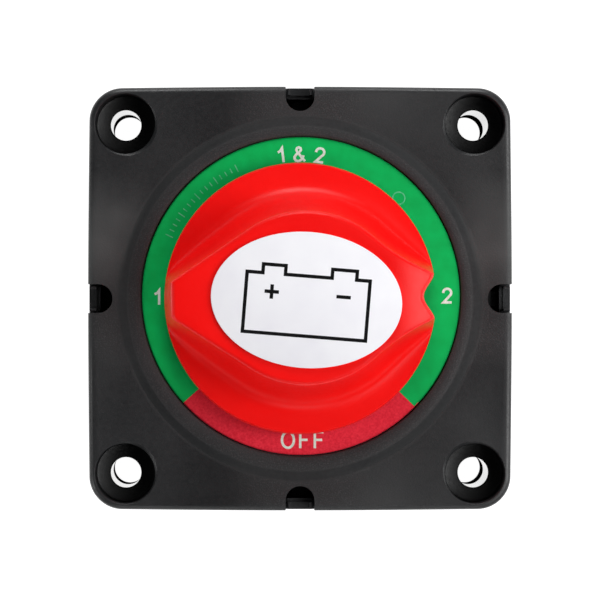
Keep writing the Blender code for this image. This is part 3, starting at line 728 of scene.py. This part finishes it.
def leaf_posts():
    """Posts on the chamber's ceiling, each with a slot for the end of a detent leaf."""
    (left, right), (near, far) = LEAF_POST_X, LEAF_POST_Y
    slot_near, slot_far = LEAF_SLOT_Y
    slotted = [(left, near), (right, near), (right, far), (left, far)]
    slotted += [(left, slot_far), (LEAF_SLOT_END_X, slot_far)]
    slotted += [(LEAF_SLOT_END_X, slot_near), (left, slot_near)]
    outlines = [[(x * px, y * py) for px, py in slotted] for x, y in CORNERS]
    return slab("leaf_posts", outlines, LEAF_POST_BOTTOM_Z, CHAMBER_CEILING_Z + 1.0)


def mark_bores(body, below):
    """Gives the walls of the screw holes below a height the second material."""
    for polygon in body.data.polygons:
        place = polygon.center / MM
        off_axis = math.hypot(abs(place.x) - HOLE_HALF_SPACING, abs(place.y) - HOLE_HALF_SPACING)
        upright = abs(polygon.normal.z) < 0.5
        polygon.material_index = 1 if upright and place.z < below and off_axis < BORE_BAND_R else 0


def make_housing(material, bore):
    """Front half of the case; its through holes, polished by their core pins, take the bore material."""
    outline = case_outline()
    rings = [housing_section(point, normal) for point, normal in zip(outline, inward_normals(outline))]
    body = loft("housing_shell", rings)
    low = HOUSING_LOW.z - 1.0
    terminal_chamber = [clipped_square(CHAMBER_HALF, POST_SHOULDER, POST_CORNER)]
    contact_chamber = [circle(CHAMBER_R, 96)]
    steps = [
        ("DIFFERENCE", slab("terminal_chamber", terminal_chamber, low, CHAMBER_FLOOR_Z)),
        ("DIFFERENCE", slab("contact_chamber", contact_chamber, CHAMBER_FLOOR_Z - 1.0, CHAMBER_CEILING_Z)),
        ("DIFFERENCE", side_pockets()),
        ("DIFFERENCE", rabbets(low, RABBET_TOP_Z)),
        ("DIFFERENCE", windows(low, WINDOW_TOP_Z)),
        ("DIFFERENCE", screw_hole_tools()),
        ("DIFFERENCE", notches()),
        ("UNION", leaf_posts()),
    ]
    body = combine(body, steps)
    mark_bores(body, COUNTERBORE_Z - 0.05)
    finish_piece(body, [material, bore], CASE, ["housing"], sharp=28.0)


def make_back_cover(material, bore):
    """Rear half: rounded slab with a shallow recessed field on its back and four bored posts."""
    top = BACK_HIGH.z
    body = slab("back_shell", [case_outline(8, 12)], 0.0, top)
    bevel(body, 0.5)
    holes = [circle(REAR_HOLE_R, 40, (x * HOLE_HALF_SPACING, y * HOLE_HALF_SPACING)) for x, y in CORNERS]
    chamber = [clipped_square(CHAMBER_HALF, POST_SHOULDER, POST_CORNER)]
    steps = [
        ("DIFFERENCE", slab("back_chamber", chamber, BACK_FLOOR_Z, top + 1.0)),
        ("DIFFERENCE", slab("back_holes", holes, -1.0, top + 1.0)),
        ("DIFFERENCE", rabbets(BACK_FLOOR_Z, top + 1.0)),
        ("DIFFERENCE", windows(WINDOW_LOW_Z, top + 1.0)),
        ("DIFFERENCE", slab("back_field", [clipped_square(*BACK_FIELD)], -1.0, BACK_FIELD_DEPTH)),
    ]
    body = combine(body, steps)
    mark_bores(body, top - 0.01)
    finish_piece(body, [material, bore], CASE, ["back_cover"], sharp=28.0)


def cover_outline():
    """Outline of a side cover and its tab, with height along X."""
    low, high, top, tab = COVER_LOW, COVER_HIGH, COVER_PLATE_TOP_Z, TAB_HALF_WIDTH
    outline = [(low.z, low.y), (top, low.y), (top, -tab), (high.z, -tab)]
    return outline + [(high.z, tab), (top, tab), (top, high.y), (low.z, high.y)]


def knock_out_score():
    """Closed outline of the score line round the cable knock-out."""
    foot = COVER_LOW.z + 1.5
    outer, inner = KNOCK_OUT_R, KNOCK_OUT_R - SCORE_WIDTH
    score = arc(outer, -90.0, 90.0, 24, (KNOCK_OUT_Z, 0.0)) + [(foot, outer), (foot, inner)]
    return score + arc(inner, 90.0, -90.0, 24, (KNOCK_OUT_Z, 0.0)) + [(foot, -inner), (foot, -outer)]


def make_side_cover(side, number, material):
    """Cable-entry cover: flat plate with a two-pronged tab, grip grooves and a scored knock-out."""
    top, above, front = COVER_PLATE_TOP_Z, COVER_HIGH.z + 1.0, 3.0
    body = slab("side_plate", [cover_outline()], 0.0, COVER_THICKNESS)
    bevel(body, 0.18, 2)
    starts = [GROOVE_LOW_Z + GROOVE_PITCH * i for i in range(5)]
    grooves = [rectangle(start, start + GROOVE_WIDTH, -8.0, 8.0) for start in starts]
    tab_relief = rectangle(top + 0.2, above, -3.0, 3.0)
    saddle = rectangle(top + 0.5, above, PRONG_WIDTH - TAB_HALF_WIDTH, TAB_HALF_WIDTH - PRONG_WIDTH)
    steps = [
        ("DIFFERENCE", slab("saddle", [saddle], -1.0, front)),
        ("DIFFERENCE", slab("grip_grooves", grooves, COVER_THICKNESS - GROOVE_DEPTH, front)),
        ("DIFFERENCE", slab("score", [knock_out_score()], COVER_THICKNESS - SCORE_DEPTH, front)),
        ("DIFFERENCE", slab("tab_front", [tab_relief], TAB_DEPTH[1], front)),
        ("DIFFERENCE", slab("tab_back", [tab_relief], -1.0, TAB_DEPTH[0])),
    ]
    body = combine(body, steps)
    body.name = "side_cover_plate_" + side
    turn = math.radians(90.0 * number)
    c, s = math.cos(turn), math.sin(turn)
    for vertex in body.data.vertices:
        height, across, out = vertex.co
        x, y = COVER_LOW.x * MM + out, -across
        vertex.co = (x * c - y * s, x * s + y * c, height)
    face_outwards(body.data)
    finish_piece(body, material, CASE, ["side_cover_" + side])


# ---------------------------------------------------------------- dial


def make_dial(green, red):
    """Printed ring in two colours, with a rounded outer edge."""
    low, high = DIAL_LOW.z, DIAL_HIGH.z
    section = [(DIAL_BORE_R, low), (DIAL_BORE_R, high), (DIAL_BORE_R * 2.0, high)]
    section += [(DIAL_R - 0.15, high), (DIAL_R, high - 0.12), (DIAL_R, low)]
    start, end = -90.0 - RED_HALF_ANGLE, -90.0 + RED_HALF_ANGLE
    red_angles = [mix(start, end, i / 48) for i in range(48)]
    green_angles = [mix(end, start + 360.0, i / 144) for i in range(144)]
    rings = []
    for degrees in red_angles + green_angles:
        c, s = math.cos(math.radians(degrees)), math.sin(math.radians(degrees))
        rings.append([(DIAL_CENTRE[0] + r * c, DIAL_CENTRE[1] + r * s, z) for r, z in section])
    ring = loft("dial_ring", rings)
    for polygon in ring.data.polygons:
        angle = math.degrees(math.atan2(polygon.center.y, polygon.center.x))
        polygon.material_index = 1 if abs(angle + 90.0) < RED_HALF_ANGLE else 0
    finish_piece(ring, [green, red], CASE, ["dial_label"])


def strokes_of(character):
    """Width and pen strokes of a character one unit high; a stroke that ends where it starts is closed."""
    if character == "1":
        return 0.38, [[(0.03, 0.74), (0.22, 0.83), (0.35, 1.0), (0.35, 0.0)]]
    if character == "2":
        return 0.62, [arc(0.28, 185.0, -35.0, 14, (0.31, 0.72)) + [(0.05, 0.03), (0.62, 0.03)]]
    if character == "O":
        ring = [(0.38 + 0.36 * x, 0.5 + 0.48 * y) for x, y in circle(1.0, 28)]
        return 0.76, [ring + ring[:1]]
    if character == "F":
        return 0.58, [[(0.06, 0.0), (0.06, 0.97), (0.58, 0.97)], [(0.06, 0.5), (0.5, 0.5)]]
    if character == "&":
        rise = [(0.84, 0.0), (0.27, 0.67), (0.22, 0.8), (0.27, 0.93)]
        rise += [(0.39, 0.99), (0.51, 0.92), (0.53, 0.79), (0.46, 0.68)]
        bowl = [(0.46, 0.68), (0.2, 0.48), (0.08, 0.33), (0.07, 0.18)]
        bowl += [(0.17, 0.05), (0.34, 0.01), (0.51, 0.06), (0.65, 0.2), (0.72, 0.42)]
        return 0.84, [rise, bowl]
    return 0.12, []


def make_text(name, words, centre, height, z, fan=False):
    """Characters drawn as strokes of raised ink, centred on a point and, if asked, fanned round the axis."""
    lines = []
    x = 0.0
    for character in words:
        width, drawn = strokes_of(character)
        lines += [[(x + px, py) for px, py in line] for line in drawn]
        x += width + LETTER_GAP
    shift = (x - LETTER_GAP) / 2
    pieces = []
    for line in lines:
        placed = [((px - shift) * height, (py - 0.5) * height) for px, py in line]
        if fan:
            polar = [(centre[1] + py, px / centre[1]) for px, py in placed]
            placed = [(r * math.sin(a), r * math.cos(a) - centre[1]) for r, a in polar]
        placed = [(centre[0] + px, centre[1] + py) for px, py in placed]
        closed = placed[0] == placed[-1]
        outlines = stroke(placed[:-1] if closed else placed, TEXT_WEIGHT, closed)
        pieces.append(slab(name, outlines, z, z + INK_THICKNESS + 0.002 * len(pieces)))
    return join_objects(pieces)


def make_scale(z, material):
    """Plain ticks along the upper left of the dial and a small ring on its upper right."""
    outlines = []
    for number in range(17):
        length = 1.3 if number % 4 == 0 else 0.8
        tick = [(TICK_R - length / 2, 0.0), (TICK_R + length / 2, 0.0)]
        outlines += stroke(turned_by(tick, TICK_START + TICK_PITCH * number), TICK_WEIGHT)
    ticks = slab("mark_scale", outlines, z, z + INK_THICKNESS)
    place = turned_by([(RING_MARK_R, 0.0)], RING_MARK_ANGLE)[0]
    ring = slab("ring", stroke(circle(1.0, 24, place), 0.2, closed=True), z, z + INK_THICKNESS)
    finish_piece(join_objects([ticks, ring]), material, CASE)


def make_dial_marks(material, faint):
    """Prints the switch's positions: a name, words, centre, height and whether they fan round the axis."""
    z = DIAL_HIGH.z + 0.002
    marks = (
        ("mark_1", "1", (-23.3, 0.15), 2.3, False),
        ("mark_2", "2", (23.95, 0.45), 2.3, False),
        ("mark_both", "1 & 2", (0.15, 23.5), 2.3, True),
        ("mark_off", "OFF", (0.4, -23.0), 2.7, False),
    )
    for name, words, centre, height, fan in marks:
        finish_piece(make_text(name, words, centre, height, z, fan), material, CASE)
    make_scale(z, faint)


# ---------------------------------------------------------------- knob


def knob_outline(degrees):
    """Radius of the skirt, with a notch at the pointer."""
    degrees = (degrees + 180.0) % 360.0 - 180.0
    if abs(degrees) >= POINTER_HALF_ANGLE:
        return KNOB_R
    share = math.cos(math.radians(90.0 * degrees / POINTER_HALF_ANGLE))
    return KNOB_R - POINTER_DEPTH * share**POINTER_POWER


def crest(x):
    """Half width and slope of the grip's round middle."""
    run = x - CREST_CENTRE_X
    depth = math.sqrt(CREST_ARC_R**2 - run**2)
    return CREST_HALF_WIDTH - CREST_ARC_R + depth, -run / depth


def grip_half_width(x):
    """Straight flanks on the left, a round middle, an eased curve down to the pointer's tips on the right."""
    left, right = FLANK_X
    if x < left:
        half_width, slope = crest(left)
        return half_width + slope * (x - left)
    if x <= right:
        return crest(x)[0]
    if x > TIP[0]:
        return TIP[1] + TIP_SLOPE * (x - TIP[0])
    half_width, slope = crest(right)
    span = TIP[0] - right
    t = (x - right) / span
    start = half_width * (1.0 + 2.0 * t) + span * slope * t
    end = TIP[1] * (3.0 - 2.0 * t) - span * TIP_SLOPE * (1.0 - t)
    return (1.0 - t) ** 2 * start + t * t * end


def grip_outline(degrees):
    """Radius at which a ray from the axis leaves the grip, found by halving."""
    s = abs(math.sin(math.radians(degrees)))
    c = math.cos(math.radians(degrees))
    low, high = 0.0, knob_outline(degrees) - GRIP_INSET
    if c < 0.0:
        high = min(high, GRIP_TAIL_X / -c)
    for _ in range(24):
        middle = (low + high) / 2
        if middle * s < grip_half_width(middle * c):
            low = middle
        else:
            high = middle
    return high


def crown_height(x):
    """The crown is flat under the label and falls away at both ends, more so towards the pointer."""
    fall = POINTER_FALL if x > 0.0 else TAIL_FALL
    return CROWN_Z - fall * max(0.0, (abs(x) - CROWN_FLAT_X) / CROWN_FALL_RUN) ** 2


def scoop(degrees, t):
    """(radius, z) on the finger scoop, from the crown's edge, t = 0, to the skirt, t = 1."""
    outer = knob_outline(degrees)
    crown = grip_outline(degrees)
    width = outer - crown
    narrow, wide = SCOOP_WIDTH
    power = mix(*SCOOP_POWER, min(1.0, max(0.0, (width - narrow) / (wide - narrow))))
    top = crown_height(crown * math.cos(math.radians(degrees))) - CREST_EDGE_R
    return crown + width * t, SKIRT_Z + (top - SKIRT_Z) * (1.0 - t) ** power


def knob_section(degrees):
    """Closed section of the knob from the screw seat out over the crown, down the scoop and back inside."""
    outer = knob_outline(degrees)
    crown = grip_outline(degrees)
    c = math.cos(math.radians(degrees))
    section = [(SCREW_SEAT_R, CROWN_Z), (HUB_R + 1.0, CROWN_Z)]
    section += [(crown * share, crown_height(crown * share * c)) for share in (0.7, 0.76, 0.82, 0.88)]
    for a in (90.0, 75.0, 60.0, 45.0, 30.0, 15.0):
        r = crown - CREST_EDGE_R * (1.0 - math.cos(math.radians(a)))
        section.append((r, crown_height(r * c) - CREST_EDGE_R * (1.0 - math.sin(math.radians(a)))))
    steps = 28
    for i in range(1, steps):
        radius, z = scoop(degrees, i / steps)
        section.append((min(radius, outer - 0.01), z))
    for a in ROUNDING_STEPS:
        inset = SKIRT_EDGE_INSET * (1.0 - math.cos(math.radians(a)))
        section.append((outer - inset, SKIRT_Z - SKIRT_EDGE_DROP * (1.0 - math.sin(math.radians(a)))))
    section += [(outer, KNOB_Z + 0.3), (outer - 0.3, KNOB_Z), (outer - KNOB_WALL, KNOB_Z)]
    for i in range(10, -1, -1):
        radius, z = scoop(degrees, i / 10)
        section.append((min(radius, outer) - KNOB_WALL, z - KNOB_WALL))
    section += [(HUB_R, CROWN_Z - HUB_TOP_DROP), (HUB_R, HUB_LOW_Z), (HUB_BORE_R, HUB_LOW_Z)]
    section += [(HUB_BORE_R, HUB_SEAT_Z), (SCREW_BORE_R, HUB_SEAT_Z), (SCREW_BORE_R, SCREW_SEAT_Z)]
    return section + [(SCREW_SEAT_R, SCREW_SEAT_Z)]


def make_knob(material):
    """Knob lofted round the axis, in finer steps across the pointer."""
    half = int(POINTER_HALF_ANGLE * 2)
    angles = [i * 0.5 for i in range(-half, half + 1)]
    coarse = 220
    angles += [mix(POINTER_HALF_ANGLE, 360.0 - POINTER_HALF_ANGLE, i / coarse) for i in range(1, coarse)]
    rings = []
    for degrees in angles:
        turned = math.radians(degrees + KNOB_TURN)
        rings.append([(r * math.cos(turned), r * math.sin(turned), z) for r, z in knob_section(degrees)])
    finish_piece(loft("knob_body", rings), material, KNOB, ["knob"], sharp=40.0)


def label_point(x, y):
    """A point of the sticker's own plan, placed and turned on the crown."""
    turned = turned_by([(x, y)], LABEL_TURN)[0]
    return LABEL_CENTRE[0] + turned[0], LABEL_CENTRE[1] + turned[1]


def make_label(vinyl, black):
    """Oval sticker on the crown with a battery outline printed on it."""
    low, high = CROWN_Z + 0.01, LABEL_TOP_Z
    section = ((0.0, low), (0.999, low), (1.0, low + 0.05), (0.997, high - 0.06), (0.985, high), (0.0, high))
    rings = []
    for x, y in circle(1.0, 120):
        x, y = x * LABEL_SEMI_AXES[0], y * LABEL_SEMI_AXES[1]
        rings.append([(*label_point(x * share, y * share), z) for share, z in section])
    label = loft("label_sticker", rings, close_rows=False)
    face_outwards(label.data, merge=True)
    finish_piece(label, vinyl, KNOB, ["knob_label"])
    make_pictogram(black, high)


def make_pictogram(black, z):
    """Battery outline with two posts, a plus and a minus."""
    left, right, low, high = -9.82, 9.92, -5.79, 3.81
    post_top = high + 1.4
    width = 0.56
    arm = 1.15
    gap = width / 2 + 0.003
    case_line = [(left, low), (right, low), (right, high)]
    for post_right, post_left in ((7.75, 3.81), (-3.68, -7.3)):
        case_line += [(post_right, high), (post_right, post_top), (post_left, post_top), (post_left, high)]
    case_line.append((left, high))
    plus_x, plus_y = -5.64, 0.9
    minus_x, minus_y = 5.88, 0.92
    lines = stroke(case_line, width, closed=True)
    lines += stroke([(plus_x - arm, plus_y), (plus_x + arm, plus_y)], width)
    lines += stroke([(minus_x - arm, minus_y), (minus_x + arm, minus_y)], width)
    bars = stroke([(plus_x, plus_y - arm), (plus_x, plus_y - gap)], width)
    bars += stroke([(plus_x, plus_y + gap), (plus_x, plus_y + arm)], width)
    pieces = []
    for name, outlines in (("battery_outline", lines), ("plus_bars", bars)):
        placed = [[label_point(x, y) for x, y in outline] for outline in outlines]
        pieces.append(slab(name, placed, z + 0.004, z + INK_THICKNESS))
    finish_piece(join_objects(pieces), black, KNOB)


# ---------------------------------------------------------------- hidden pieces


def make_contact_spring(number, steel):
    """Round-wire spring with closed ends, clear of the contact plate at the top of the plate's travel."""
    node = f"contact_spring_{number}"
    low, high = box_mm(node)
    centre = (low + high) / 2
    radius = (high.x - low.x) / 2 - SPRING_WIRE_R
    z_low = low.z + CONTACT_TRAVEL / 2 + SPRING_WIRE_R
    z_high = high.z - SPRING_WIRE_R
    wire = circle(SPRING_WIRE_R, 10)
    steps = 40
    rings = []
    for i in range(int(SPRING_TURNS * steps) + 1):
        turn = i / steps
        ease = min(1.0, max(0.0, (turn - 0.5) / (SPRING_TURNS - 1.0)))
        z = mix(z_low, z_high, 0.1 * turn / SPRING_TURNS + 0.9 * ease)
        c, s = math.cos(math.tau * turn), math.sin(math.tau * turn)
        ring = [((radius + out) * c, (radius + out) * s, up) for out, up in wire]
        rings.append([(centre.x + x, centre.y + y, z + up) for x, y, up in ring])
    spring = loft(f"spring_coil_{number}", rings, close_columns=False, caps=True)
    finish_piece(spring, steel, KNOB, [node])


def finish_frame_nodes(looks):
    """Gives the carried-over nodes their procedural materials; their shapes stay as they are."""
    for name, material in looks.items():
        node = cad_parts[name]
        node.data.materials.clear()
        node.data.materials.append(material)
        for polygon in node.data.polygons:
            polygon.material_index = 0


# ---------------------------------------------------------------- light, floor and camera


def make_floor():
    """White paper that stays white at its edges."""
    s = Surface("floor_paper", 0.9, specular=0.1)
    s.colour(s.blend(s.cloud(6.0, 2.0), (0.3, 0.3, 0.3), (0.34, 0.34, 0.34)))
    s.shader.inputs["Emission Color"].default_value = (1.0, 1.0, 1.0, 1.0)
    s.shader.inputs["Emission Strength"].default_value = 1.0
    bpy.ops.mesh.primitive_plane_add(size=6.0, location=(0, 0, -0.0003))
    floor = bpy.context.object
    floor.name = "floor"
    floor.data.materials.append(s.material)


def softbox(name, azimuth, elevation, power):
    """Square area light 0.9 m from the switch, at an azimuth and an elevation in degrees."""
    reach = 0.9
    across = reach * math.cos(math.radians(elevation))
    up = reach * math.sin(math.radians(elevation))
    away = Vector((across * math.cos(math.radians(azimuth)), across * math.sin(math.radians(azimuth)), up))
    light = bpy.data.lights.new(name, "AREA")
    light.shape = "SQUARE"
    light.size = 0.4
    light.energy = power
    lamp = add_object(name, light)
    lamp.location = Vector((0.0, 0.0, 0.05)) + away
    lamp.rotation_mode = "QUATERNION"
    lamp.rotation_quaternion = (-away).to_track_quat("-Z", "Y")


def make_light():
    """A dark room with low lights at the top and on the right, higher ones on the right, weak ones around."""
    world = bpy.data.worlds.new("studio")
    world.use_nodes = True
    background = world.node_tree.nodes["Background"]
    background.inputs["Color"].default_value = (1.0, 1.0, 1.0, 1.0)
    background.inputs["Strength"].default_value = 0.02
    bpy.context.scene.world = world
    softbox("right_low", 0.0, 28.0, 3.0)
    softbox("right_high", 0.0, 48.0, 2.2)
    softbox("top_low", 90.0, 28.0, 4.7)
    softbox("left_low", 202.0, 28.0, 2.1)
    softbox("near_low", 270.0, 30.0, 1.1)
    softbox("near_right", 315.0, 48.0, 1.4)
    softbox("overhead", 45.0, 68.0, 0.2)
    softbox("right_top", 0.0, 66.0, 0.45)


def make_camera():
    """Nearly square-on to the face from 1.15 m, a little left of and below the knob's axis."""
    distance = 1.15
    frame_width = 97.6 * MM
    camera = bpy.data.cameras.new("camera")
    camera.sensor_width = 36.0
    camera.lens = camera.sensor_width * distance / frame_width
    camera.clip_start = 0.05
    camera.clip_end = 20.0
    item = add_object("camera", camera)
    target = Vector((-0.02, -0.24, FACE_Z)) * MM
    item.location = Vector((-9.7, -5.1, FACE_Z)) * MM + Vector((0.0, 0.0, distance))
    back = (item.location - target).normalized()
    right = Vector((0.0, 1.0, 0.0)).cross(back).normalized()
    turn = Matrix((right, back.cross(right), back)).transposed()
    item.rotation_euler = turn.to_euler()
    bpy.context.scene.camera = item
    bpy.context.scene.view_settings.view_transform = "Standard"


# ---------------------------------------------------------------- assembly


def make_case():
    case_black = case_plastic()
    dark, light = (0.018, 0.019, 0.021), (0.03, 0.031, 0.033)
    cover_black = moulded_plastic("cover_plastic", dark, light, 0.5, 3400.0, 0.05)
    make_housing(case_black, polished_bore())
    make_back_cover(cover_black, rough_bore())
    for number, side in enumerate(SIDES):
        make_side_cover(side, number, cover_black)


def make_front():
    green = dial_print("dial_green", (0.0, 0.42, 0.085), (0.0, 0.49, 0.105), 500.0)
    red = dial_print("dial_red", (0.62, 0.012, 0.03), (0.78, 0.03, 0.055), 3000.0)
    make_dial(green, red)
    pale = ink("pale_ink", (0.56, 0.7, 0.6), (0.74, 0.84, 0.77))
    faint = ink("faint_ink", (0.06, 0.5, 0.22), (0.14, 0.58, 0.32))
    make_dial_marks(pale, faint)
    make_knob(knob_plastic())
    make_label(label_vinyl(), ink("black_ink", (0.001, 0.001, 0.001), (0.006, 0.006, 0.007)))


def make_inside():
    """Springs of round wire, and materials for the pieces that keep their CAD shape."""
    copper = metal("copper_sheet", (0.62, 0.26, 0.14), (0.85, 0.45, 0.28), 0.32)
    tinned = metal("tinned_copper", (0.5, 0.49, 0.46), (0.72, 0.71, 0.68), 0.36)
    steel = metal("spring_wire", (0.34, 0.34, 0.36), (0.55, 0.55, 0.57), 0.3)
    stainless = metal("stainless_bolt", (0.5, 0.49, 0.47), (0.66, 0.65, 0.63), 0.26)
    dark, light = (0.55, 0.53, 0.44), (0.66, 0.64, 0.55)
    nylon = moulded_plastic("natural_nylon", dark, light, 0.5, 2200.0, 0.04)
    dark, light = (0.075, 0.03, 0.018), (0.13, 0.06, 0.035)
    phenolic = moulded_plastic("phenolic_board", dark, light, 0.45, 1800.0, 0.05)
    seal = rubber()
    for number in (1, 2, 3):
        make_contact_spring(number, steel)
    looks = {
        "rotor": nylon,
        "shaft_seal": seal,
        "base_gasket": seal,
        "contact_base": phenolic,
        "contact_plate": copper,
        "common_bar": copper,
        "knob_screw": stainless,
        "detent_leaf_top": steel,
        "detent_leaf_bottom": steel,
    }
    looks.update({f"base_screw_{number}": stainless for number in (1, 2, 3, 4)})
    for terminal in TERMINAL_NAMES:
        looks["terminal_stud_" + terminal] = tinned
        for kind in ("flat_washer_", "lock_washer_", "terminal_nut_"):
            looks[kind + terminal] = stainless
    finish_frame_nodes(looks)


make_case()
make_front()
make_inside()
make_floor()
make_light()
make_camera()
